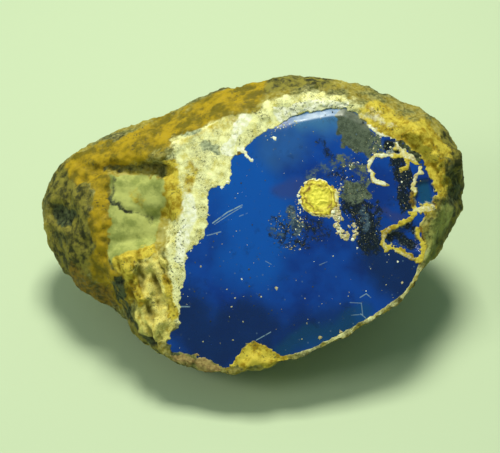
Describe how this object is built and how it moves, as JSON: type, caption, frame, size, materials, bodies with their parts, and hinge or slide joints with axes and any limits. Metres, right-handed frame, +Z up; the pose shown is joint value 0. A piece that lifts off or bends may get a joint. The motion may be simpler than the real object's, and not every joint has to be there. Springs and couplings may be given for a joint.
{
  "type": "blue amber nodule",
  "caption": "Palm-sized lump of rough blue amber in its ochre sediment rind, with one side ground and polished into a window.",
  "frame": {"origin": "middle of the underside of the bounding box, on the surface that the nodule stands on", "axes": "+X along the nodule's length, to the right as the polished window is faced; +Y away from the viewer, so the window looks towards -Y and 45 degrees up; +Z up, square to the worn flat that it rests on"},
  "size_m": [0.0713, 0.0468, 0.0361],
  "materials": {
    "rind": "matte",
    "amber": "polished",
    "inclusion": "matte"
  },
  "bodies": {
    "root": {"rind": "rind", "amber": "amber", "inclusion": "inclusion"}
  },
  "joints": []
}
